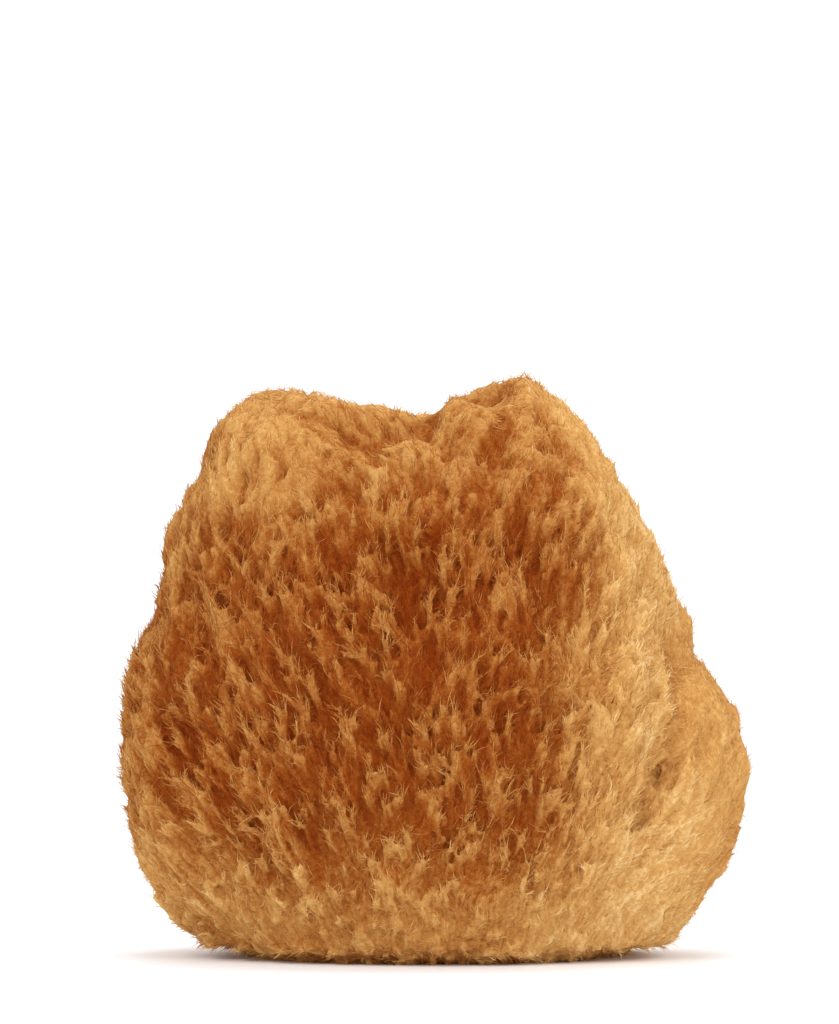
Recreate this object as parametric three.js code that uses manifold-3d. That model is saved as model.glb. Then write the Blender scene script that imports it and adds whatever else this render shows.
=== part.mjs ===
// A natural bath sponge of the sea-wool kind: the cleaned skeleton of one animal, a soft rounded
// mass of tufted fibre that was cut off flat where it grew on rock and that stands on that cut.
// It is one grown piece, so it is one solid. The solid reaches the tips of the tufts.
// Millimetres, +Z up, front facing -Y. The origin is the middle of the flat cut base.
import * as THREE from "three";
import { ImprovedNoise } from "three/addons/math/ImprovedNoise.js";
import { mergeVertices } from "three/addons/utils/BufferGeometryUtils.js";
import Module from "manifold-3d";

// Driving dimensions
const WIDTH = 130; // widest span, left to right
const DEPTH = 86; // front to back
const HEIGHT = 119; // from the cut base to the highest lobe

// The grown form before the base is cut. Every point of it is in plain view from the heart.
const HEART = new THREE.Vector3(0, 0, 56);
const FACETS = 19; // subdivisions of the icosahedron that carries the surface
const BULGE = 2.4; // 2 is an ellipse from front to back, more is fuller
const FRONT_DEPTH = 45;
const BACK_DEPTH = 41;
const CROWN_TAPER = 5; // how much thinner the crown is than the belly, each side
const OUTLINE = [
  // Front outline as [x, z], anticlockwise from the widest point of the right lobe
  [64.8, 40],
  [62.5, 51],
  [57, 61], // crease above the right lobe
  [52.5, 70],
  [46, 84],
  [38, 100],
  [29, 111.5],
  [20.5, 118.5], // right peak
  [9, 116.5],
  [-7, 112], // saddle between the two crown lobes
  [-20, 114.5],
  [-31, 117], // left crown lobe
  [-41, 113.5],
  [-49, 103],
  [-56.5, 87],
  [-62, 70],
  [-65.5, 50],
  [-66, 33],
  [-61.5, 16],
  [-53, 6],
  [-43, -2],
  [0, -19], // the part below the cut
  [43, -2],
  [52.5, 6],
  [59.5, 17],
  [63.5, 28],
];

// Broad swellings: towards which point, how wide, and how far each stands out
const LOBES = [
  { at: [-6, -44, 46], reach: 36, rise: 2 }, // belly
  { at: [-34, -24, 96], reach: 20, rise: 3 },
  { at: [24, -22, 98], reach: 18, rise: 3 },
  { at: [62, 6, 36], reach: 20, rise: 2 }, // right lobe
  { at: [-30, 38, 80], reach: 24, rise: 5 },
  { at: [30, 38, 62], reach: 24, rise: 4 },
  { at: [-12, 40, 26], reach: 24, rise: 4.5 },
];

// Furrows between the lobes, each along a smooth curve through its points
const FURROWS = [
  { through: [[54, -4, 68], [48, -28, 58], [47, -34, 42], [44, -34, 28], [40, -30, 6]], width: 5.5, cut: 5.5 },
  { through: [[-7, 2, 112], [-6, 16, 110], [-2, 34, 92]], width: 7, cut: 1.5 },
  { through: [[-2, 34, 92], [2, 42, 74], [8, 42, 48], [26, 42, 34], [48, 30, 24]], width: 7, cut: 4 },
  { through: [[-60, 12, 62], [-48, 30, 54], [-22, 42, 50], [4, 43, 58]], width: 6, cut: 3.5 },
];

// Oscula, the round mouths of the sponge's outlet canals. Each runs in towards the heart.
const OSCULUM_SIDES = 14;
const OSCULA = [
  { at: [-28, 8, 118], radius: 3.8, depth: 15 },
  { at: [18, 10, 118], radius: 4.4, depth: 17 },
  { at: [31, 22, 104], radius: 2.8, depth: 11 },
  { at: [-48, 16, 98], radius: 3, depth: 11 },
  { at: [-24, 40, 84], radius: 3.6, depth: 14 },
  { at: [27, 42, 64], radius: 3.2, depth: 13 },
  { at: [-16, 40, 26], radius: 3, depth: 12 },
  { at: [60, 22, 42], radius: 2.8, depth: 11 },
  { at: [-49.5, -22, 61], radius: 2, depth: 8 },
];

// Tufts: bunches of fibre that lie over one another like flames and fan out from below
const TUFT_SPACING = 9.5;
const TUFT_CANDIDATES = 2600;
const TUFT_WIDTH = 6.2; // half width
const TUFT_LENGTH = 15;
const TUFT_TIP = 6; // how far past its highest point a tuft ends
const TUFT_RISE = 3.6;
const TUFT_FAN = new THREE.Vector3(0, 0, -40); // the tufts point away from here

const noise = new ImprovedNoise();
const toVector = (point) => new THREE.Vector3(...point);

// Distance from the heart to the front outline, as a function of the turn about the Y axis.
function makeOutlineRadius() {
  const curve = new THREE.CatmullRomCurve3(
    OUTLINE.map(([x, z]) => new THREE.Vector3(x, 0, z)),
    true,
  );
  const arms = curve
    .getPoints(OUTLINE.length * 30)
    .slice(1)
    .map((p) => ({
      turn: Math.atan2(p.z - HEART.z, p.x - HEART.x),
      radius: Math.hypot(p.x - HEART.x, p.z - HEART.z),
    }))
    .sort((a, b) => a.turn - b.turn);
  const first = arms[0];
  const last = arms[arms.length - 1];
  arms.unshift({ turn: last.turn - 2 * Math.PI, radius: last.radius });
  arms.push({ turn: first.turn + 2 * Math.PI, radius: first.radius });
  return (turn) => {
    const after = arms.findIndex((arm) => arm.turn > turn);
    const low = arms[after - 1];
    const high = arms[after];
    const share = (turn - low.turn) / (high.turn - low.turn);
    return THREE.MathUtils.lerp(low.radius, high.radius, share);
  };
}

const outlineRadius = makeOutlineRadius();

// The smooth form: the front outline, closed front and back by superellipses.
function smoothRadius(direction) {
  const inPlane = Math.hypot(direction.x, direction.z);
  const outline = outlineRadius(Math.atan2(direction.z, direction.x));
  const full = direction.y < 0 ? FRONT_DEPTH : BACK_DEPTH;
  const depth = full - CROWN_TAPER * Math.max(0, direction.z);
  const across = (inPlane / outline) ** BULGE;
  const through = (Math.abs(direction.y) / depth) ** BULGE;
  return (across + through) ** (-1 / BULGE);
}

function onSmoothForm(direction) {
  return direction.clone().multiplyScalar(smoothRadius(direction)).add(HEART);
}

function placeTowards(point) {
  return onSmoothForm(toVector(point).sub(HEART).normalize());
}

const lobes = LOBES.map(({ at, reach, rise }) => ({ middle: placeTowards(at), reach, rise }));
const furrows = FURROWS.map(({ through, width, cut }) => {
  const curve = new THREE.CatmullRomCurve3(through.map(placeTowards));
  return { points: curve.getPoints(30), width, cut };
});

// How far a point stands out from or sinks into the smooth form, before the tufts.
function broadRelief(point) {
  let rise = 0;
  for (const lobe of lobes) {
    const away = point.distanceTo(lobe.middle) / lobe.reach;
    rise += lobe.rise * Math.exp(-away * away);
  }
  for (const { points, width, cut } of furrows) {
    let nearest = Infinity;
    for (const p of points) nearest = Math.min(nearest, p.distanceToSquared(point));
    rise -= cut * Math.exp(-nearest / (width * width));
  }
  const swell = noise.noise(point.x / 17 + 3, point.y / 17 + 7, point.z / 21 + 11);
  return rise + 1.8 * swell;
}

// Tufts spread evenly over the smooth form, each with the direction in which it points.
function growTufts() {
  const golden = Math.PI * (3 - Math.sqrt(5));
  const stride = 997; // visits the candidates in a scattered order
  const tufts = [];
  for (let i = 0; i < TUFT_CANDIDATES; i++) {
    const k = (i * stride) % TUFT_CANDIDATES;
    const z = 1 - (2 * (k + 0.5)) / TUFT_CANDIDATES;
    const ring = Math.sqrt(1 - z * z);
    const outward = new THREE.Vector3(ring * Math.cos(golden * k), ring * Math.sin(golden * k), z);
    const root = onSmoothForm(outward);
    if (tufts.every((tuft) => tuft.root.distanceTo(root) > TUFT_SPACING)) {
      const along = root.clone().sub(TUFT_FAN).projectOnPlane(outward).normalize();
      const lean = 0.5 * noise.noise(root.x / 12, root.y / 12, root.z / 12);
      along.applyAxisAngle(outward, lean);
      tufts.push({ root, along, across: along.clone().cross(outward), size: 1 + lean });
    }
  }
  return tufts;
}

const tufts = growTufts();

// Height of the tuft that stands highest over a point: a ramp up to its tip, then a drop.
function tuftRelief(point) {
  let highest = 0;
  const arm = new THREE.Vector3();
  for (const { root, along, across, size } of tufts) {
    arm.subVectors(point, root);
    const forward = arm.dot(along);
    const reach = forward < 0 ? TUFT_LENGTH : TUFT_TIP;
    const down = (forward / reach) ** 2;
    const aside = (arm.dot(across) / TUFT_WIDTH) ** 2;
    if (arm.lengthSq() < TUFT_LENGTH ** 2) {
      highest = Math.max(highest, size * (1 - down - aside));
    }
  }
  return TUFT_RISE * (highest - 0.6);
}

const wasm = await Module();
wasm.setup();

function toSolid(geometry) {
  const bare = geometry.clone();
  bare.deleteAttribute("normal");
  bare.deleteAttribute("uv");
  const merged = mergeVertices(bare, 1e-4);
  return new wasm.Manifold(
    new wasm.Mesh({
      numProp: 3,
      vertProperties: new Float32Array(merged.getAttribute("position").array),
      triVerts: new Uint32Array(merged.getIndex().array),
    }),
  );
}

function toGeometry(solid) {
  const mesh = solid.getMesh();
  const geometry = new THREE.BufferGeometry();
  geometry.setAttribute("position", new THREE.BufferAttribute(mesh.vertProperties, 3));
  geometry.setIndex(new THREE.BufferAttribute(mesh.triVerts, 1));
  return geometry;
}

// Draws each value halfway to the mean of its neighbours, which takes out folds and slivers.
function softened(values, index) {
  const sums = values.map(() => 0);
  const counts = values.map(() => 0);
  for (let i = 0; i < index.count; i++) {
    const here = index.getX(i);
    const next = index.getX(i % 3 === 2 ? i - 2 : i + 1);
    sums[here] += values[next];
    counts[here] += 1;
  }
  return values.map((value, i) => (value + sums[i] / counts[i]) / 2);
}

function grownForm() {
  const sphere = new THREE.IcosahedronGeometry(1, FACETS);
  sphere.deleteAttribute("normal");
  sphere.deleteAttribute("uv");
  const geometry = mergeVertices(sphere, 1e-5);
  const position = geometry.getAttribute("position");
  const directions = Array.from({ length: position.count }, (_, i) =>
    new THREE.Vector3().fromBufferAttribute(position, i).normalize(),
  );
  const relief = directions.map((direction) => {
    const point = onSmoothForm(direction);
    return broadRelief(point) + tuftRelief(point);
  });
  softened(relief, geometry.getIndex()).forEach((rise, i) => {
    const point = onSmoothForm(directions[i]).addScaledVector(directions[i], rise);
    position.setXYZ(i, point.x, point.y, point.z);
  });
  return geometry;
}

// A plug that cuts one canal: tapered, with a round inner end, its mouth flared.
function canalPlug({ at, radius, depth }) {
  const clear = 9; // how far the plug stands clear of the surface
  const profile = [
    [0, -depth],
    [radius * 0.45, -depth + radius * 0.2],
    [radius * 0.7, -depth + radius * 0.8],
    [radius * 0.85, -depth * 0.4],
    [radius * 1.1, 0],
    [radius * 1.5, clear],
    [0, clear],
  ];
  const plug = new THREE.LatheGeometry(
    profile.map(([r, y]) => new THREE.Vector2(r, y)),
    OSCULUM_SIDES,
  );
  const mouth = placeTowards(at);
  const outward = mouth.clone().sub(HEART).normalize();
  const turn = new THREE.Quaternion().setFromUnitVectors(new THREE.Vector3(0, 1, 0), outward);
  return plug.applyMatrix4(
    new THREE.Matrix4().compose(mouth, turn, new THREE.Vector3(1, 1, 1)),
  );
}

// Everything below z = 0, where the sponge was cut from the rock.
function belowTheCut() {
  const size = 2 * WIDTH;
  return new THREE.BoxGeometry(size, size, size).translate(0, 0, -size / 2);
}

// Stretches the cut form to the driving dimensions, with the cut base at z = 0.
function fitToSize(geometry) {
  geometry.computeBoundingBox();
  const box = geometry.boundingBox;
  const size = box.getSize(new THREE.Vector3());
  const middle = box.getCenter(new THREE.Vector3());
  geometry.translate(-middle.x, -middle.y, -box.min.z);
  geometry.scale(WIDTH / size.x, DEPTH / size.y, HEIGHT / size.z);
  return geometry;
}

function spongeGeometry() {
  let solid = toSolid(grownForm());
  for (const osculum of OSCULA) solid = solid.subtract(toSolid(canalPlug(osculum)));
  solid = solid.subtract(toSolid(belowTheCut()));
  const geometry = fitToSize(toGeometry(solid));
  geometry.computeVertexNormals();
  return geometry;
}

const fibre = new THREE.MeshStandardMaterial({ color: 0xb87a3c, roughness: 0.95, metalness: 0 });

const sponge = new THREE.Mesh(spongeGeometry(), fibre);
sponge.name = "sponge";

const model = new THREE.Group();
model.add(sponge);
export default model;
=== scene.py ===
import functools
import math

import bpy
import numpy as np
from bpy.props import FloatProperty, FloatVectorProperty, IntProperty, PointerProperty
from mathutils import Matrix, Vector, noise
from mathutils.kdtree import KDTree


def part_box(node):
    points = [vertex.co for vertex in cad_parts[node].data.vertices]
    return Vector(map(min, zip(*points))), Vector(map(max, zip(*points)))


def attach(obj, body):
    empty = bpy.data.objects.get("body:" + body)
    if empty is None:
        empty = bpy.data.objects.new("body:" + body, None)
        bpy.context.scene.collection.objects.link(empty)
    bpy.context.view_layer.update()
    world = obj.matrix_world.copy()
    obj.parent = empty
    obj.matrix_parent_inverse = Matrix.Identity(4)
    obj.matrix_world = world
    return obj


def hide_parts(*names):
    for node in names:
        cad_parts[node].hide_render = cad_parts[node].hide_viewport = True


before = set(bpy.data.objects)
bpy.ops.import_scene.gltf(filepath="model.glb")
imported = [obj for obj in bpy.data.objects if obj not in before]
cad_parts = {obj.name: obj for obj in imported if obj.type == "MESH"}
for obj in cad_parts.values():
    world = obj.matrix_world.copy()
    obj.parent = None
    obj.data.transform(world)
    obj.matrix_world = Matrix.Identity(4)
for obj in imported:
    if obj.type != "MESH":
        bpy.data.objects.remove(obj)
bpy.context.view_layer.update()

bl_info = {
    "name": "Natural Sea Sponge",
    "version": (1, 0, 0),
    "blender": (4, 5, 0),
    "location": "3D View > Sidebar > Sponge",
    "description": "Grows the tufts and fibres of a natural bath sponge on its solid form",
    "category": "Object",
}

MM = 0.001
NODE = "sponge"
BODY = "matted_body"
MAP = "OFBake"  # across: a fibre's tone, up: from its root to its tip
HEIGHT = float(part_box(NODE)[1][2])
HEART = np.array([0, 0, 0.056])  # the outlet canals start here
TUFT_FAN = np.array([0, 0, -0.040])  # the tufts point away from here

NOISE_SEED = 2  # sets the wander of the folds, strands and regions
FINGER_SEED, CORE_SEED, FLEECE_SEED, FRIZZ_SEED = 19, 11, 23, 31
TUFT_SPOTS, FLEECE_SPOTS, FRIZZ_SPOTS = 26000, 150000, 90000  # random spots to choose from
BODY_TRIANGLES = 192000
FLEECE_FIBRES = 19500  # in each of the fleece's pieces
FRIZZ_FIBRES = 12300

CAMERA = (-3.1 * MM, -1200 * MM, 91.5 * MM)
CAMERA_LENS = 204.7
LIGHTS_AIM = Vector((0, 0, 55 * MM))
STUDIO_LIGHTS = (  # name, place, width in metres, power in watts
    ("key", (-0.75, -1.0, 0.95), 0.9, 8),
    ("fill", (0.85, -0.95, 0.75), 0.9, 8),
    ("top", (0.1, 0.25, 1.3), 0.8, 6),
)

# Mouths of the outlet canals in metres, each with its radius
OSCULA = (
    ((-0.028, 0.008, 0.118), 0.0038),
    ((0.018, 0.010, 0.118), 0.0044),
    ((0.031, 0.022, 0.104), 0.0028),
    ((-0.048, 0.016, 0.098), 0.0030),
    ((-0.024, 0.040, 0.084), 0.0036),
    ((0.027, 0.042, 0.064), 0.0032),
    ((-0.016, 0.040, 0.026), 0.0030),
    ((0.060, 0.022, 0.042), 0.0028),
    ((-0.0495, -0.022, 0.061), 0.0020),
)


def linear(red, green, blue):
    """A screen colour, 0 to 255, as the linear values that Blender works in."""
    shares = (red / 255, green / 255, blue / 255)
    return tuple(s / 12.92 if s <= 0.04045 else ((s + 0.055) / 1.055) ** 2.4 for s in shares)


# Settings


class SpongeSizes(bpy.types.PropertyGroup):
    inset: FloatProperty(
        name="Inset",
        description="Depth of the skin that the tufts grow from, below the solid form",
        default=3.4 * MM,
        unit="LENGTH",
    )
    spacing: FloatProperty(
        name="Tuft spacing",
        description="Usual distance between two tufts",
        default=3.1 * MM,
        unit="LENGTH",
    )
    length: FloatProperty(
        name="Tuft length",
        description="Length of the long tufts on the belly",
        default=10 * MM,
        unit="LENGTH",
    )
    width: FloatProperty(
        name="Tuft width",
        description="Width of a tuft at its thickest",
        default=2.1 * MM,
        unit="LENGTH",
    )
    grain: FloatProperty(
        name="Grain",
        description="Size of the finest shape in the matted body",
        default=0.46 * MM,
        unit="LENGTH",
    )
    fibre: FloatProperty(
        name="Fibre radius",
        description="Radius of a fibre of the fleece",
        default=0.1 * MM,
        unit="LENGTH",
    )
    fleece: FloatProperty(
        name="Fleece length",
        description="Usual length of a fibre of the fleece",
        default=3.9 * MM,
        unit="LENGTH",
    )
    seed: IntProperty(name="Seed", description="Picks another sponge of the kind", default=7)


class SpongeColours(bpy.types.PropertyGroup):
    # The darkest stop, which the painted shade deep in the pits between the tufts reaches
    pit: FloatVectorProperty(
        name="Pit",
        description="Fibre deep between the tufts",
        subtype="COLOR",
        default=linear(122, 44, 3),
    )
    amber: FloatVectorProperty(
        name="Amber",
        description="Fibre low in a tuft",
        subtype="COLOR",
        default=linear(152, 80, 25),
    )
    honey: FloatVectorProperty(
        name="Honey",
        description="The sponge's middle tone",
        subtype="COLOR",
        default=linear(188, 132, 69),
    )
    # The painted light on the crown, the right and the thin edges pales the fibres towards this stop
    straw: FloatVectorProperty(
        name="Straw",
        description="Fibre at the sponge's edges and crown",
        subtype="COLOR",
        default=linear(215, 166, 98),
    )
    tip: FloatVectorProperty(
        name="Tip",
        description="The palest fibre ends",
        subtype="COLOR",
        default=linear(240, 210, 155),
    )


# Shader maths


class Socket:
    """A node's output that takes part in Python expressions, each of which adds Math nodes."""

    def __init__(self, shader, output):
        self.shader = shader
        self.output = output

    def maths(self, operation, *values):
        """What a Math node makes of the values, which are sockets or numbers."""
        return self.shader.node("Math", {"operation": operation}, dict(enumerate(values)))

    def __add__(self, other):
        return self.maths("ADD", self, other)

    def __radd__(self, other):
        return self.maths("ADD", other, self)

    def __sub__(self, other):
        return self.maths("SUBTRACT", self, other)

    def __rsub__(self, other):
        return self.maths("SUBTRACT", other, self)

    def __mul__(self, other):
        return self.maths("MULTIPLY", self, other)

    def __rmul__(self, other):
        return self.maths("MULTIPLY", other, self)

    def __pow__(self, other):
        return self.maths("POWER", self, other)

    def __rpow__(self, other):
        return self.maths("POWER", other, self)

    def over(self, low, high):
        """0 below low, 1 above high, smooth between."""
        settings = {"interpolation_type": "SMOOTHSTEP"}
        return self.shader.node("MapRange", settings, {0: self, 1: low, 2: high})


class Shader:
    """A new material whose nodes are added one expression at a time."""

    def __init__(self, name):
        self.material = bpy.data.materials.new(name)
        self.material.use_nodes = True
        self.tree = self.material.node_tree
        self.tree.nodes.clear()

    def node(self, kind, settings=None, inputs=None, output=0):
        """A node of this kind: its settings first, then its inputs' values or links. Gives an output."""
        node = self.tree.nodes.new("ShaderNode" + kind)
        for name, value in (settings or {}).items():
            if name == "stops":
                self.set_stops(node.color_ramp, value)
            else:
                setattr(node, name, value)
        for key, value in (inputs or {}).items():
            if isinstance(value, Socket):
                self.tree.links.new(value.output, node.inputs[key])
            else:
                node.inputs[key].default_value = value
        return None if output is None else Socket(self, node.outputs[output])

    def vector(self, operation, *values, scale=None, output=0):
        """What a Vector Math node makes of the values. A length is its output 1."""
        inputs = dict(enumerate(values))
        if scale is not None:
            inputs["Scale"] = scale
        return self.node("VectorMath", {"operation": operation}, inputs, output)

    @staticmethod
    def set_stops(ramp, stops):
        """Gives the ramp these colours, each a place from 0 to 1 and its colour."""
        while len(ramp.elements) < len(stops):
            ramp.elements.new(1)
        for element, (place, colour) in zip(ramp.elements, stops):
            element.position = place
            element.color = (*colour, 1)

    def finish(self, **inputs):
        """Ends the material in a Principled shader with these inputs."""
        named = {key.replace("_", " ").title().replace("Ior", "IOR"): v for key, v in inputs.items()}
        surface = self.node("BsdfPrincipled", {}, named)
        self.node("OutputMaterial", {}, {"Surface": surface}, output=None)
        return self.material


def fibre_colour(shader, tone):
    """The sponge's run of colours, from the painted shade of the pits to the palest tips, for a tone of
    0 to 1.
    """
    run = bpy.context.scene.sponge_colours
    stops = [(0, run.pit), (0.3, run.amber), (0.55, run.honey), (0.8, run.straw), (1, run.tip)]
    return shader.node("ValToRGB", {"stops": stops}, {0: tone})


def fibre_material(name, root, tip):
    """Fibre whose tone is written across its map, darker by root and paler by tip at its ends."""
    shader = Shader(name)
    place = shader.node("UVMap", {"uv_map": MAP})
    tone = shader.node("SeparateXYZ", {}, {0: place}, output=0)
    along = shader.node("SeparateXYZ", {}, {0: place}, output=1)
    spot = shader.node("TexCoord", output="Object")
    grain = shader.node("TexNoise", {}, {"Vector": spot, "Scale": 2200.0, "Detail": 1.0})
    shade = tone - root * (1 - along) ** 2 + tip * along**2 + 0.5 * (grain - 0.5)
    colour = fibre_colour(shader, shade)
    return shader.finish(base_color=colour, roughness=0.95 - 0.2 * along, specular_ior_level=0.1)


def felt_material():
    """Matted fibre with streaks that run away from the tufts' fan, and the porous cut on the base."""
    shader = Shader("sponge_felt")
    spot = shader.node("TexCoord", output="Object")
    height = shader.node("SeparateXYZ", {}, {0: spot}, output=2)
    cut = 1 - height.over(0.2 * MM, 0.6 * MM)
    tone = shader.node("Attribute", {"attribute_name": "tone"}, output=2)

    # Streaks: a noise that is fine across the fan's arms and slow along them, and wanders a little
    warp = shader.node("TexNoise", {}, {"Vector": spot, "Scale": 160.0}, output=1)
    warp = shader.vector("SUBTRACT", warp, (0.5, 0.5, 0.5))
    bent = shader.vector("ADD", spot, shader.vector("SCALE", warp, scale=0.004))
    arm = shader.vector("SUBTRACT", bent, tuple(TUFT_FAN))
    reach = shader.vector("LENGTH", arm, output=1)
    ahead = shader.vector("NORMALIZE", arm)
    across = {"Vector": ahead, "W": reach * 300.0, "Scale": 210.0, "Detail": 2.0}
    streaks = shader.node("TexNoise", {"noise_dimensions": "4D"}, across)

    felt = shader.node("TexNoise", {}, {"Vector": spot, "Scale": 1100.0, "Detail": 3.0})
    pores = shader.node("TexVoronoi", {}, {"Vector": spot, "Scale": 420.0})
    open_pores = 1 - pores.over(0.15, 0.45)
    # The colour follows the relief, paler where the streaks and the felt stand up and darker in their
    # grooves: partly the fibres' own grain, partly painted shade. The open pores of the cut are darkened
    # as painted shade.
    shade = tone + (streaks - 0.5) + 0.45 * (felt - 0.5) + cut * (0.2 - 0.4 * open_pores)
    colour = fibre_colour(shader, shade)
    relief = streaks + felt * 0.4 - open_pores * cut
    bump = shader.node("Bump", {}, {"Strength": 0.5, "Distance": 0.0006, "Height": relief})
    return shader.finish(base_color=colour, roughness=0.95, normal=bump, specular_ior_level=0.05)


# Mesh making


def smoothstep(value, low, high):
    """0 below low, 1 above high, smooth between."""
    share = np.clip((value - low) / (high - low), 0, 1)
    return share * share * (3 - 2 * share)


def hump(value, middle, width):
    """1 at the middle, and gone by about two widths from it."""
    return np.exp(-(((value - middle) / width) ** 2))


def unit(vectors):
    """The vectors at a length of 1."""
    return vectors / np.maximum(np.linalg.norm(vectors, axis=-1, keepdims=True), 1e-9)


def read(items, name, width=3, kind=np.float32):
    """One property of all the vertices, edges or triangles, as an array with width columns."""
    values = np.empty(len(items) * width, kind)
    items.foreach_get(name, values)
    return values.reshape(-1, width)


def applied(mesh, *modifiers):
    """The mesh as the modifiers leave it. Each is a type and its settings."""
    holder = bpy.data.objects.new("holder", mesh)
    bpy.context.scene.collection.objects.link(holder)
    for kind, settings in modifiers:
        modifier = holder.modifiers.new(kind, kind)
        for name, value in settings.items():
            setattr(modifier, name, value)
    depsgraph = bpy.context.evaluated_depsgraph_get()
    done = bpy.data.meshes.new_from_object(holder.evaluated_get(depsgraph))
    bpy.data.objects.remove(holder)
    return done


def mesh_of(name, vertices, triangles, places=None):
    """A smooth mesh from arrays. places has a spot on the map for each triangle's corner."""
    mesh = bpy.data.meshes.new(name)
    mesh.vertices.add(len(vertices))
    mesh.vertices.foreach_set("co", vertices.astype(np.float32).ravel())
    mesh.loops.add(triangles.size)
    mesh.loops.foreach_set("vertex_index", triangles.astype(np.int32).ravel())
    mesh.polygons.add(len(triangles))
    mesh.polygons.foreach_set("loop_start", np.arange(0, triangles.size, 3, dtype=np.int32))
    mesh.polygons.foreach_set("use_smooth", np.ones(len(triangles), bool))
    if places is not None:
        layer = mesh.uv_layers.new(name=MAP)
        layer.uv.foreach_set("vector", places.astype(np.float32).ravel())
    mesh.update(calc_edges=True)
    mesh.validate()
    return mesh


def show(name, mesh, material):
    """Adds the mesh as a piece of the sponge."""
    piece = bpy.data.objects.new(name, mesh)
    bpy.context.scene.collection.objects.link(piece)
    mesh.materials.clear()
    mesh.materials.append(material)
    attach(piece, "root")
    if name != BODY:
        # Real fibres glow through in the light, so these throw no shadow on the body
        piece.visible_shadow = False
        piece.visible_diffuse = False
    return piece


def tubes(name, lines, radii, across, tone, sides=3, flat=1.0):
    """Closed tubes that taper to a point, one along each line of lines (count, points, 3).

    The last point is the tip. radii is (count, points), across a unit vector for each line,
    flat the thickness of a tube as a share of its width.
    """
    count, points, _ = lines.shape
    along = unit(np.gradient(lines, axis=1))
    aside = unit(across[:, None] - (across[:, None] * along).sum(-1, keepdims=True) * along)
    out = flat * np.cross(aside, along)
    turns = np.arange(sides) * 2 * math.pi / sides
    ring = aside[:, :-1, None] * np.cos(turns)[:, None] + out[:, :-1, None] * np.sin(turns)[:, None]
    rings = lines[:, :-1, None] + ring * radii[:, :-1, None, None]
    vertices = np.concatenate([rings.reshape(count, -1, 3), lines[:, -1:]], axis=1)
    vertices[..., 2] = np.maximum(vertices[..., 2], 0.1 * MM)

    # Each side has a strip of the map of its own, so that no face is a mere line there
    faces, spots = [], []
    step = np.linspace(0, 1, points)
    sway = 1.5 / 1024 * np.cos(turns)
    last = (points - 1) * sides
    for k in range(points - 1):
        for side in range(sides):
            after = (side + 1) % sides
            low, low_after = k * sides + side, k * sides + after
            here, there = (sway[side], step[k]), (sway[after], step[k])
            if k == points - 2:
                faces.append((low, low_after, last))
                spots.append((here, there, (0, 1)))
            else:
                up, up_after = low + sides, low_after + sides
                faces += [(low, low_after, up_after), (low, up_after, up)]
                high, high_after = (sway[side], step[k + 1]), (sway[after], step[k + 1])
                spots += [(here, there, high_after), (here, high_after, high)]
    for side in range(1, sides - 1):
        faces.append((0, side + 1, side))
        spots.append(((sway[0], 0), (sway[side + 1], 0.01), (sway[side], 0.01)))
    size = vertices.shape[1]
    triangles = (np.array(faces)[None] + (np.arange(count) * size)[:, None, None]).reshape(-1, 3)
    places = np.array(spots)[None] + np.stack([tone, np.zeros(count)], 1)[:, None, None]
    places = np.clip(places, 0.002, 0.998)
    return mesh_of(name, vertices.reshape(-1, 3), triangles, places.reshape(-1, 2))


# Growth

# Unseeded, the noise starts from the clock and every run grows another sponge
noise.seed_set(NOISE_SEED)


@functools.cache
def inner_skin():
    """The solid form without its own tufts, drawn in by the inset and still cut flat at the base."""
    inset = bpy.context.scene.sponge_sizes.inset
    mesh = applied(
        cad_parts[NODE].data.copy(),
        ("REMESH", {"mode": "VOXEL", "voxel_size": 1.8 * MM}),
        ("SMOOTH", {"factor": 0.5, "iterations": 12}),
        ("TRIANGULATE", {}),
    )
    place = read(mesh.vertices, "co").astype(float)
    normal = read(mesh.vertices, "normal").astype(float)
    region = Regions(place)
    fold = MM * (0.7 + 0.7 * region.crown - 0.6 * region.foot) * folds_at(place)

    # Deeper in the crease, the notch and the saddle, less deep on a ridge and where the form swells
    depth = inset * (1 - 0.5 * region.calm) - 2 * MM * (region.left + region.dip) - fold
    depth = depth + MM * (2.2 * region.crease - 1.2 * region.beside + 0.8 * region.behind)
    depth = depth + MM * (1.5 * region.notch + 1.3 * region.saddle - 2.2 * region.corner)

    standing = np.ones_like(place)
    standing[:, 2] = smoothstep(place[:, 2], 0, 6 * MM)
    drawn = place - depth[:, None] * normal * standing
    sole = place[:, 2] < 1.2 * MM
    drawn[sole, 2] = 0

    # The cut is flat in its middle and rounds up to its rim
    rim = np.linalg.norm(drawn[:, :2] / np.abs(drawn[sole, :2]).max(0), axis=1)
    drawn[:, 2] = np.maximum(drawn[:, 2], 3.5 * MM * smoothstep(rim, 0.7, 1.02))
    mesh.vertices.foreach_set("co", drawn.astype(np.float32).ravel())
    mesh.update()
    return mesh


def corners_of(mesh):
    """The three vertices of each triangle."""
    mesh.calc_loop_triangles()
    return read(mesh.loop_triangles, "vertices", 3, np.int32)


def scattered(mesh, count, rng):
    """Random points on the mesh away from its base, with their smooth normals."""
    corners = corners_of(mesh)
    place = read(mesh.vertices, "co").astype(float)
    normal = read(mesh.vertices, "normal").astype(float)
    a, b, c = (place[corners[:, i]] for i in range(3))
    area = np.linalg.norm(np.cross(b - a, c - a), axis=1)
    area[np.maximum.reduce([a[:, 2], b[:, 2], c[:, 2]]) < 0.2 * MM] = 0
    picked = rng.choice(len(area), count, p=area / area.sum())
    share = rng.dirichlet((1, 1, 1), count)[:, :, None]
    spots = (place[corners[picked]] * share).sum(1)
    return spots, unit((normal[corners[picked]] * share).sum(1))


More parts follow.
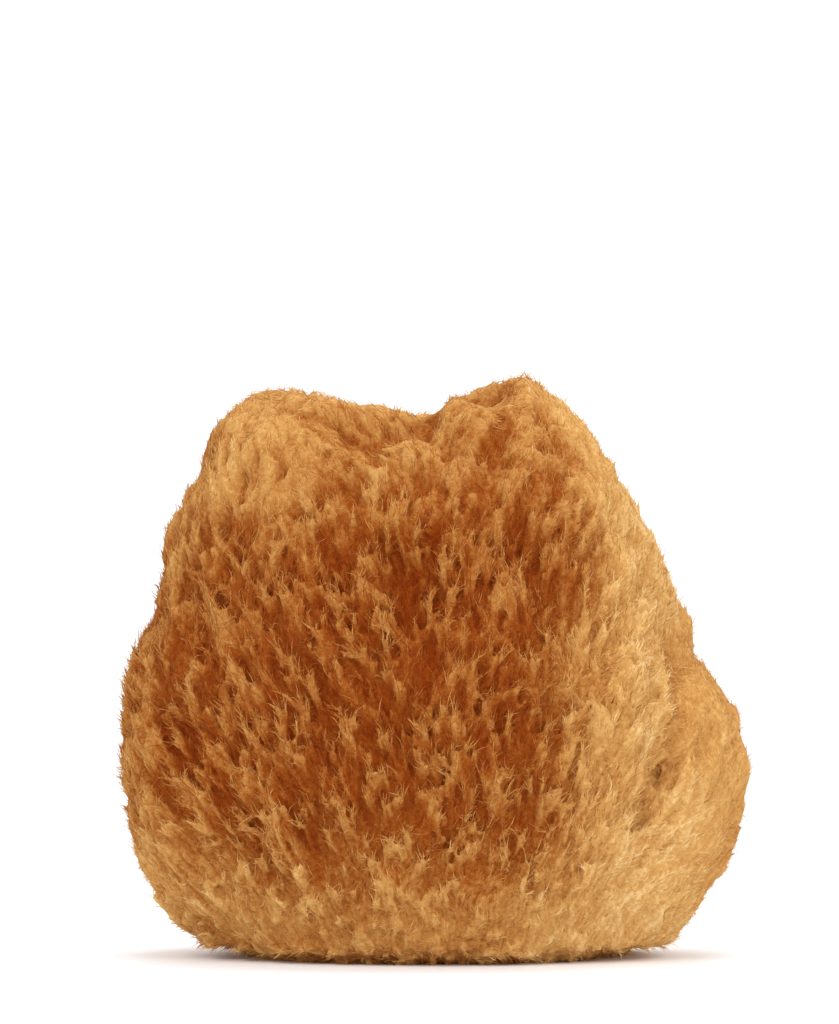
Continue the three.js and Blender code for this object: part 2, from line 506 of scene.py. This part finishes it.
def spaced(points, reach):
    """Indices of points that keep at least reach apart, taken in order."""
    kept, cells = [], {}
    width = 8 * MM  # over the longest reach, so only the next cells have to be searched
    for index, (point, apart) in enumerate(zip(points, reach)):
        cell = tuple((point // width).astype(int))
        near = [
            other
            for i in (-1, 0, 1)
            for j in (-1, 0, 1)
            for k in (-1, 0, 1)
            for other in cells.get((cell[0] + i, cell[1] + j, cell[2] + k), ())
        ]
        if not near or (((points[near] - point) ** 2).sum(1) > apart * apart).all():
            cells.setdefault(cell, []).append(index)
            kept.append(index)
    return np.array(kept)


def furrows(place, across, ahead):
    """Ridges that run away from the fan's centre, from -1 in a valley to 1 on a ridge."""
    arm = place - TUFT_FAN
    reach = np.linalg.norm(arm, axis=1, keepdims=True)
    spots = arm / reach * across + reach * ahead * np.array([1, -1, 2])
    return np.clip(2.2 * np.array([noise.noise(Vector(spot)) for spot in spots]), -1, 1)


def folds_at(place):
    """Soft folds, some 7 mm apart."""
    return furrows(place + 4 * MM * noise_at(place, 40), 15, 16)


def strands_at(place):
    """Fine strands, some 1 mm apart."""
    return furrows(place + 2 * MM * noise_at(place, 90), 95, 55)


def noise_at(place, scale):
    """A smooth random vector at each point."""
    return np.array([noise.noise_vector(Vector(point * scale)) for point in place])


class Regions:
    """How much each point belongs to each region of the sponge, from 0 to 1.

    In a calm region the tufts are short, wide and soft.
    """

    def __init__(self, place):
        self.place = place
        self.set_broad(*(place + 9 * MM * noise_at(place, 28)).T)
        self.set_crown(*place.T)
        self.set_crease(*place.T)

    def set_broad(self, x, y, z):
        """The broad regions, whose borders wander."""
        self.crown = smoothstep(z, 0.60 * HEIGHT, 0.95 * HEIGHT)
        self.foot = 1 - smoothstep(z, 0.04 * HEIGHT, 0.30 * HEIGHT)
        self.right = smoothstep(x, 14 * MM, 44 * MM)
        self.left = smoothstep(-x, 35 * MM, 60 * MM) * (1 - smoothstep(z, 55 * MM, 80 * MM))
        self.shoulder = smoothstep(x, 20 * MM, 40 * MM) * smoothstep(z, 60 * MM, 84 * MM)
        self.back = smoothstep(y, -5 * MM, 20 * MM)
        self.side = smoothstep(abs(x), 46 * MM, 60 * MM)
        below = 1 - smoothstep(z, 0.52 * HEIGHT, 0.60 * HEIGHT)
        self.lobe = smoothstep(x, 46 * MM, 51 * MM) * below
        top = smoothstep(z, 0.64 * HEIGHT, 0.86 * HEIGHT)
        calm = 0.75 * top + 0.9 * self.lobe + 0.65 * self.foot + 0.4 * self.side
        calm = calm + 0.4 * self.shoulder + 0.25 * self.right
        self.calm = np.clip(calm, 0, 1)

    def set_crown(self, x, y, z):
        """The dip in the crown's front, the saddle behind it and the crown's left corner."""
        front = 1 - smoothstep(y, -12 * MM, 3 * MM)
        self.dip = hump(x, -7 * MM, 12 * MM) * smoothstep(z, 97 * MM, 106 * MM) * front
        behind = smoothstep(y, -12 * MM, 0)
        self.saddle = hump(x, -11 * MM, 9 * MM) * smoothstep(z, 105 * MM, 111 * MM) * behind
        self.corner = hump(x, -46 * MM, 8 * MM) * hump(z, 108 * MM, 8 * MM)

    def set_crease(self, x, y, z):
        """The crease where the right lobe comes out from behind the belly, and what lies by it.

        The notch is the nick in the outline over the lobe, below 0 where the edge above it swells.
        """
        line = 47.5 * MM - 7 * MM * smoothstep(45 * MM - z, 0, 18 * MM)
        span = smoothstep(-y, 4 * MM, 12 * MM) * smoothstep(z, 18 * MM, 30 * MM)
        span = span * (1 - smoothstep(z, 66 * MM, 78 * MM))
        self.crease = span * hump(x, line, 2.2 * MM)
        self.beside = span * smoothstep(x - line, -13 * MM, -4 * MM) * (x < line)
        self.behind = span * (x > line) * (1 - smoothstep(x - line, 2 * MM, 9 * MM))
        edge = smoothstep(x, 46 * MM, 52 * MM)
        self.notch = edge * (hump(z, 63 * MM, 3 * MM) - 0.8 * hump(z, 72 * MM, 4 * MM))

    def tone(self):
        """The fibres' tone: dark on the belly, pale at the crown, the foot and the right. It is partly
        the sponge's own colour and partly painted light and shade: the dark belly and the pale crown and
        right follow how the light falls on the sponge.
        """
        x, _, z = self.place.T
        low = smoothstep(HEIGHT - z, 0.5 * HEIGHT, 0.85 * HEIGHT)
        band = smoothstep(-x, 20 * MM, 34 * MM) * (1 - self.side)
        # Painted light: the right and the crown are paler where the light falls strongest, and the sides
        # are paler where it shines through the thin edges
        tone = 0.38 + 0.39 * self.right + 0.14 * self.crown + 0.26 * self.foot + 0.06 * self.side
        # Painted light lifts the shade in the saddle's valley
        tone = tone + 0.06 * low + 0.03 * band + 0.06 * self.saddle
        tone = tone + 0.03 * self.crown * smoothstep(-x, 0, 30 * MM)
        tone = np.minimum(tone, 0.8) - 0.18 * self.lobe + 0.08 * self.back * (1 - self.right)
        # Painted shade in the crease, a painted shadow on the lobe just behind it, and painted light
        # that lifts the shade in the dip
        tone = tone - 0.11 * self.crease - 0.05 * self.behind + 0.08 * self.dip
        # Painted shade in the folds' valleys and painted light on their ridges
        return tone + (0.05 + 0.07 * self.crown) * folds_at(self.place)


def in_oscula(place, margin):
    """Whether each point is in the mouth of an outlet canal or within the margin of it."""
    inside = np.zeros(len(place), bool)
    for mouth, radius in OSCULA:
        axis = unit(np.array(mouth) - HEART)
        arm = place - HEART
        off = np.linalg.norm(arm - (arm @ axis)[:, None] * axis, axis=1)
        inside |= (off < radius + margin) & (arm @ axis > 0)
    return inside


def clear_of_oscula(place, normal):
    """Only the points and normals that lie clear of the canals' mouths."""
    clear = ~in_oscula(place, 0.6 * MM)
    return place[clear], normal[clear]


def tree_of(points):
    """A search tree of the points."""
    tree = KDTree(len(points))
    for index, point in enumerate(points):
        tree.insert(point, index)
    tree.balance()
    return tree


def nearest(tree, points):
    """The index of the tree's nearest point to each of these."""
    return np.array([tree.find(point)[1] for point in points])


@functools.cache
def ground():
    """The skin's points and normals, and a way to find the nearest."""
    skin = inner_skin()
    place = read(skin.vertices, "co").astype(float)
    return place, read(skin.vertices, "normal").astype(float), tree_of(place)


def height_over(points):
    """How far each point stands over the skin, and the skin's normal below it."""
    place, normal, tree = ground()
    below = nearest(tree, points)
    return ((points - place[below]) * normal[below]).sum(1), normal[below]


@functools.cache
def planted_tufts():
    """Every tuft's root, sideways direction, sway, size and tone, as arrays by name."""
    sizes = bpy.context.scene.sponge_sizes
    rng = np.random.default_rng(sizes.seed)
    place, normal = clear_of_oscula(*scattered(inner_skin(), TUFT_SPOTS, rng))
    region = Regions(place)
    crowding = 1 + 0.4 * region.calm - 0.3 * region.foot
    kept = spaced(place, sizes.spacing * crowding * rng.uniform(0.6, 1.4, len(place)))
    place, normal = place[kept], normal[kept]
    count = len(place)
    region = Regions(place)
    calm, foot = region.calm, region.foot
    unruly = foot[:, None]
    sway = (0.45 + 0.4 * unruly) * noise_at(place, 55)
    sway += (0.16 + 0.16 * unruly) * rng.normal(size=(count, 3))
    sway[:, 0] += 0.9 * region.beside
    fan = unit(place - TUFT_FAN) + sway
    patch = noise_at(place, 45)[:, 0]
    return {
        "root": place,
        "across": unit(np.cross(fan, normal)),
        "sway": sway,
        "long": sizes.length * (1 + 0.3 * calm - 0.6 * foot) * rng.uniform(0.45, 1.25, count),
        "wide": sizes.width * (1 + 0.8 * calm - 0.6 * foot) * rng.uniform(0.7, 1.3, count),
        "proud": sizes.inset * (1 - 0.5 * calm - 0.3 * region.crease) * rng.uniform(0.45, 1.1, count),
        "tone": region.tone() + 0.07 * patch + 0.03 * rng.normal(size=count),
    }


@functools.cache
def fingers():
    """Each tuft's three fingers, which part towards its tip, as arrays by name.

    A finger's line is combed over the skin, away from the fan's centre, and rises to its tip.
    """
    finger = {name: np.repeat(values, 3, axis=0) for name, values in planted_tufts().items()}
    rng = np.random.default_rng(FINGER_SEED)
    count = len(finger["tone"])
    part = (np.tile([-1, 0, 1], count // 3) + rng.normal(size=count) * 0.35)[:, None]
    finger["long"] = finger["long"] * rng.uniform(0.62, 1.08, count)
    finger["wide"] = finger["wide"] * rng.uniform(0.45, 0.7, count)
    finger["proud"] = finger["proud"] * rng.uniform(0.75, 1, count)
    place = finger["root"] + 0.22 * finger["wide"][:, None] * part * finger["across"]
    steps = 6
    lines, steady, before = [], np.ones(count, bool), None
    for step in range(steps + 1):
        height, normal = height_over(place)
        if before is not None:
            steady &= (normal * before).sum(1) > 0.75
        steady &= ~in_oscula(place, 0.8 * MM)
        before = normal
        place = place - np.clip(height, -2 * MM, 2 * MM)[:, None] * normal
        share = step / steps
        rise = finger["proud"] * (0.45 * share + 0.5 * share**2) - 0.2 * MM * (1 - share)
        lines.append(place + rise[:, None] * normal)
        fan = unit(place - TUFT_FAN) + finger["sway"] + 0.35 * share * part * finger["across"]
        flow = unit(fan - (fan * normal).sum(1)[:, None] * normal)
        place = place + finger["long"][:, None] / steps * flow
    finger["lines"] = np.stack(lines, 1)
    finger["ahead"] = unit(np.gradient(finger["lines"], axis=1))
    finger["across"] = unit(np.cross(finger["ahead"][:, steps // 2], normal))
    return {name: values[steady] for name, values in finger.items()}


def soften(mesh, weight, rounds):
    """Draws each vertex towards the middle of its neighbours, as far as its weight of 0 to 1."""
    place = read(mesh.vertices, "co").astype(float)
    ends = read(mesh.edges, "vertices", 2, np.int32)
    start, end = np.concatenate([ends, ends[:, ::-1]]).T
    near = np.maximum(np.bincount(start, minlength=len(place)), 1)
    for _ in range(rounds):
        sums = [np.bincount(start, place[end, axis], len(place)) for axis in range(3)]
        middle = np.stack([total / near for total in sums], 1)
        place += 0.6 * weight[:, None] * (middle - place)
    mesh.vertices.foreach_set("co", place.astype(np.float32).ravel())
    mesh.update()


def grown_body():
    """The skin and every finger's matted core, fused into one surface."""
    sizes = bpy.context.scene.sponge_sizes
    skin, finger = inner_skin(), fingers()
    rng = np.random.default_rng(CORE_SEED)
    lines = finger["lines"] + 0.15 * MM * rng.normal(size=finger["lines"].shape)
    swell = np.array([0.75, 0.9, 1, 1, 0.9, 0.7, 0])  # a finger's thickness from its root to its tip
    radii = finger["wide"][:, None] / 2 * swell
    radii = radii * rng.uniform(0.85, 1.15, radii.shape)
    cores = tubes("cores", lines, radii, finger["across"], finger["tone"], sides=6, flat=0.65)
    vertices = np.concatenate([read(skin.vertices, "co"), read(cores.vertices, "co")])
    triangles = np.concatenate([corners_of(skin), corners_of(cores) + len(skin.vertices)])
    fused = applied(
        mesh_of(BODY, vertices, triangles),
        ("REMESH", {"mode": "VOXEL", "voxel_size": sizes.grain}),
        ("SMOOTH", {"factor": 0.4, "iterations": 2}),
    )

    # Soft where it is calm, with fine strands in relief
    place = read(fused.vertices, "co").astype(float)
    calm = Regions(place).calm
    soften(fused, np.maximum(calm, 0.12), 8)
    normal = read(fused.vertices, "normal").astype(float)
    relief = 0.3 * MM * (1 - 0.6 * calm) * strands_at(place)
    place = read(fused.vertices, "co") + relief[:, None] * normal
    fused.vertices.foreach_set("co", place.astype(np.float32).ravel())
    fused.update()
    share = BODY_TRIANGLES / (2 * len(fused.polygons))
    body = applied(fused, ("DECIMATE", {"ratio": min(share, 1)}), ("TRIANGULATE", {}))
    place = read(body.vertices, "co")
    place[place[:, 2] < 0.45 * MM, 2] = 0
    body.vertices.foreach_set("co", place.ravel())
    body.polygons.foreach_set("use_smooth", np.ones(len(body.polygons), bool))
    body.update()
    return body


@functools.cache
def finger_tree():
    """A search tree of the points along the fingers, but for their roots."""
    return tree_of(fingers()["lines"][:, 1:].reshape(-1, 3))


def grain_at(points):
    """The way the nearest finger runs, the share along it, its tone and the points' height."""
    finger = fingers()
    samples = finger["lines"].shape[1] - 1
    which, step = np.divmod(nearest(finger_tree(), points), samples)
    ahead = finger["ahead"][which, step + 1]
    return ahead, (step + 1) / samples, finger["tone"][which], height_over(points)[0]


def tone_with_pit_shade(points, regional, height):
    """Painted shade in the pits between the tufts, dark and warm the lower a point lies over the skin,
    and pale on the ridges.
    """
    region = Regions(points)
    # Painted shade: the lower a point lies over the skin, the darker its tone
    deep = 1 - smoothstep(height, 0.2 * MM, (2.2 - region.calm) * MM)
    return regional - (0.3 - 0.13 * region.calm - 0.15 * region.right) * deep


def waving(place, start, end, long, points, rng):
    """Lines from the places that turn from the start to the end direction and wave on the way."""
    step = np.linspace(0, 1, points)[None, :, None]
    path = step * start[:, None] + 0.5 * step**2 * (end - start)[:, None]
    lines = place[:, None] + long[:, None, None] * path
    kinks = rng.normal(size=(len(place), points - 1, 3))
    lines[:, 1:] += kinks * 0.12 * MM
    return lines


# Pieces


class SPONGE_OT_body(bpy.types.Operator):
    """Makes the sponge's matted body with its tufts, folds and pits"""

    bl_idname = "sponge.body"
    bl_label = "Matted body"

    def execute(self, context):
        mesh = grown_body()
        place = read(mesh.vertices, "co").astype(float)
        _, _, tone, height = grain_at(place)
        # Paler on the fine strands' ridges and darker in their grooves: partly the fibres' own grain,
        # partly painted shade
        tone = 0.5 * tone + 0.5 * Regions(place).tone() + 0.08 * strands_at(place)
        values = mesh.attributes.new("tone", "FLOAT", "POINT")
        values.data.foreach_set("value", tone_with_pit_shade(place, tone, height).astype(np.float32))
        piece = show(BODY, mesh, felt_material())
        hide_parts(NODE)
        return {"FINISHED"}


class SPONGE_OT_fleece(bpy.types.Operator):
    """Covers the body in fine fibres that lie along its tufts and folds"""

    bl_idname = "sponge.fleece"
    bl_label = "Fleece"

    def execute(self, context):
        sizes = context.scene.sponge_sizes
        rng = np.random.default_rng(FLEECE_SEED)
        material = fibre_material("fleece_fibre", 0.06, 0.06)
        body = bpy.data.objects[BODY].data
        place, out = clear_of_oscula(*scattered(body, FLEECE_SPOTS, rng))

        # Few fibres stand on the blunt ends of the tufts
        blunt = (grain_at(place)[0] * out).sum(1) > 0.55
        kept = ~blunt | (rng.uniform(size=len(place)) < 0.25)
        place, out = place[kept], out[kept]

        front = place[:, 1] < 0
        high = place[:, 2] > 0.5 * HEIGHT
        for name, which in (
            ("fleece_front_low", front & ~high),
            ("fleece_front_high", front & high),
            ("fleece_back", ~front),
        ):
            spots, outward = place[which][:FLEECE_FIBRES], out[which][:FLEECE_FIBRES]
            show(name, self.fibres(name, spots, outward, sizes, rng), material)
        return {"FINISHED"}

    @staticmethod
    def fibres(name, place, out, sizes, rng):
        """Fibres that start at the points and lie along the tufts, each with its own tone and turn."""
        count = len(place)
        ahead, _, tone, height = grain_at(place)
        calm = Regions(place).calm
        # Paler on the fine strands' ridges and darker in their grooves: partly the fibres' own grain,
        # partly painted shade
        tone = tone + 0.09 * (1 - 0.5 * calm) * strands_at(place)
        tone = tone_with_pit_shade(place, tone, height) + 0.04 * calm + 0.1 * rng.normal(size=count)
        flow = unit(ahead - 0.8 * (ahead * out).sum(1)[:, None] * out)
        lift = 0.1 - 0.03 * calm + 0.05 * rng.normal(size=count)
        stray = 0.18 * rng.normal(size=(count, 3))
        start = unit(flow + lift[:, None] * out + stray)
        end = unit(start + 0.6 * rng.normal(size=(count, 3)) - 0.12 * out)
        long = sizes.fleece * (1 - 0.35 * calm) * rng.uniform(0.5, 1.3, count)
        thick = sizes.fibre * (1 - 0.15 * calm) * rng.uniform(0.7, 1.25, count)
        radii = thick[:, None] * np.array([1, 0.85, 0])
        lines = waving(place - 0.12 * MM * out, start, end, long, 3, rng)
        return tubes(name, lines, radii, unit(rng.normal(size=(count, 3))), tone)


class SPONGE_OT_frizz(bpy.types.Operator):
    """Adds the pale curly ends that brush out of the tufts' tips, and the haze over the folds"""

    bl_idname = "sponge.frizz"
    bl_label = "Frizz"

    def execute(self, context):
        sizes = context.scene.sponge_sizes
        rng = np.random.default_rng(FRIZZ_SEED)
        body = bpy.data.objects[BODY].data
        place, out = clear_of_oscula(*scattered(body, FRIZZ_SPOTS, rng))
        ahead, share, tone, height = grain_at(place)
        calm = Regions(place).calm
        tip = smoothstep(share, 0.5, 0.95) * smoothstep(height, 1 * MM, 2.2 * MM)
        chosen = rng.uniform(size=len(place)) < 0.45 + 0.4 * tip * (1 - 0.6 * calm)
        chosen = np.flatnonzero(chosen)[:FRIZZ_FIBRES]
        place, out, ahead, tone, height, tip = (
            values[chosen] for values in (place, out, ahead, tone, height, tip)
        )
        count = len(place)
        tone = tone_with_pit_shade(place, tone, height) + 0.03 + 0.02 * tip + 0.09 * rng.normal(size=count)
        lift = 0.12 + 0.08 * rng.normal(size=count)
        start = unit(ahead + lift[:, None] * out + 0.3 * rng.normal(size=(count, 3)))
        end = unit(start + 1.5 * rng.normal(size=(count, 3)))
        long = 0.54 * sizes.fleece * rng.uniform(0.6, 1.4, count)
        thick = 0.85 * sizes.fibre * rng.uniform(0.7, 1.2, count)
        radii = thick[:, None] * np.array([1, 0.95, 0.8, 0])
        lines = waving(place - 0.1 * MM * out, start, end, long, 4, rng)
        mesh = tubes("frizz", lines, radii, unit(rng.normal(size=(count, 3))), tone)
        show("frizz", mesh, fibre_material("frizz_fibre", 0.06, 0.12))
        return {"FINISHED"}


class SPONGE_OT_stage(bpy.types.Operator):
    """Sets the pale floor, the soft studio light and the camera"""

    bl_idname = "sponge.stage"
    bl_label = "Stage"

    def execute(self, context):
        scene = context.scene
        scene.view_settings.view_transform = "Standard"
        scene.cycles.diffuse_bounces = 8

        # A floor that sweeps up into a backdrop, in metres
        half, front, back, bend, top = 3.0, -1.6, 1.5, 0.8, 3.0
        profile = [(front, 0.0), (back - bend, 0.0)]
        steps = 16
        for step in range(1, steps + 1):
            turn = step / steps * math.pi / 2
            profile.append((back - bend + bend * math.sin(turn), bend - bend * math.cos(turn)))
        profile.append((back, top))
        vertices = [(x, y, z) for y, z in profile for x in (-half, half)]
        starts = range(0, len(vertices) - 2, 2)
        faces = [(start, start + 1, start + 3, start + 2) for start in starts]
        mesh = bpy.data.meshes.new("floor")
        mesh.from_pydata(vertices, [], faces)
        mesh.polygons.foreach_set("use_smooth", np.ones(len(faces), bool))
        floor = bpy.data.objects.new("floor", mesh)
        scene.collection.objects.link(floor)
        shader = Shader("floor_paper")
        mesh.materials.append(shader.finish(base_color=(0.94, 0.945, 0.95, 1), roughness=0.9))

        world = bpy.data.worlds.new("studio")
        world.use_nodes = True
        sky = world.node_tree.nodes["Background"].inputs
        sky["Color"].default_value = (0.97, 0.98, 1, 1)
        sky["Strength"].default_value = 0.9
        scene.world = world
        for name, place, width, power in STUDIO_LIGHTS:
            self.light(name, place, width, power)

        camera = bpy.data.objects.new("camera", bpy.data.cameras.new("camera"))
        camera.location = CAMERA
        camera.rotation_euler = (math.pi / 2, 0, 0)  # level, looking along +Y
        camera.data.lens = CAMERA_LENS
        camera.data.sensor_width = 36
        scene.collection.objects.link(camera)
        scene.camera = camera
        return {"FINISHED"}

    @staticmethod
    def light(name, place, width, power):
        """A round soft light that shines on the sponge's middle."""
        data = bpy.data.lights.new(name, "AREA")
        data.shape = "DISK"
        data.size = width
        data.energy = power
        lamp = bpy.data.objects.new(name, data)
        lamp.location = place
        aim = LIGHTS_AIM - lamp.location
        lamp.rotation_euler = aim.to_track_quat("-Z", "Y").to_euler()
        bpy.context.scene.collection.objects.link(lamp)


PIECES = (SPONGE_OT_body, SPONGE_OT_fleece, SPONGE_OT_frizz, SPONGE_OT_stage)


class SPONGE_PT_panel(bpy.types.Panel):
    bl_label = "Sponge"
    bl_idname = "SPONGE_PT_panel"
    bl_space_type = "VIEW_3D"
    bl_region_type = "UI"
    bl_category = "Sponge"

    def draw(self, context):
        for group in (context.scene.sponge_sizes, context.scene.sponge_colours):
            box = self.layout.box()
            for name in group.__annotations__:
                box.prop(group, name)
        for piece in PIECES:
            self.layout.operator(piece.bl_idname)


CLASSES = (SpongeSizes, SpongeColours, *PIECES, SPONGE_PT_panel)


def register():
    for cls in CLASSES:
        bpy.utils.register_class(cls)
    bpy.types.Scene.sponge_sizes = PointerProperty(type=SpongeSizes)
    bpy.types.Scene.sponge_colours = PointerProperty(type=SpongeColours)


def unregister():
    del bpy.types.Scene.sponge_colours
    del bpy.types.Scene.sponge_sizes
    for cls in reversed(CLASSES):
        bpy.utils.unregister_class(cls)


def main():
    register()
    bpy.ops.sponge.body()
    bpy.ops.sponge.fleece()
    bpy.ops.sponge.frizz()
    bpy.ops.sponge.stage()


if __name__ == "__main__":
    main()
